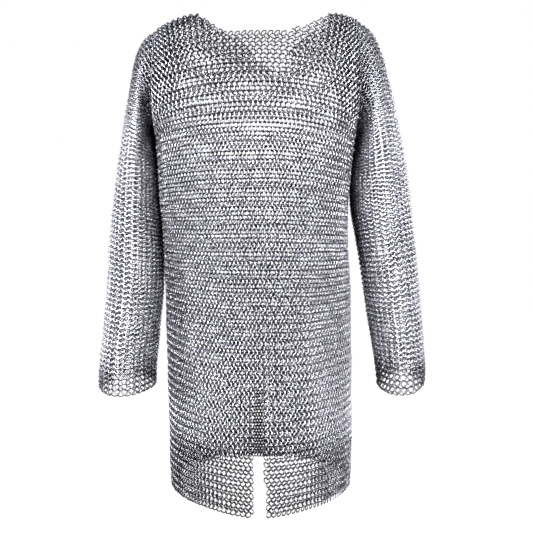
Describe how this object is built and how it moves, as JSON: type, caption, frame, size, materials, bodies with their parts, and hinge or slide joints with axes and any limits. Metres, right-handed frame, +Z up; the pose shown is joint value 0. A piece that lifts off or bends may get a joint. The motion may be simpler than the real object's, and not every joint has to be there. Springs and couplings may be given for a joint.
{
  "type": "chainmail hauberk",
  "caption": "Long-sleeved, thigh-length shirt of linked steel rings with an open neck, tube sleeves and a slit up the middle of one skirt side.",
  "frame": {"origin": "midway between the tops of the two shoulders, where the wearer's shoulders carry the shirt", "axes": "+Z up, -Y towards the side with the slit, +X towards that side's right as it is looked at"},
  "size_m": [0.6675, 0.3008, 0.9597],
  "materials": {
    "mail": "satin"
  },
  "bodies": {
    "root": {"chest_front": "mail", "chest_back": "mail", "body_front": "mail", "body_back": "mail", "skirt_front_left": "mail", "skirt_front_right": "mail", "skirt_back": "mail", "sleeve_left": "mail", "sleeve_right": "mail"}
  },
  "joints": []
}
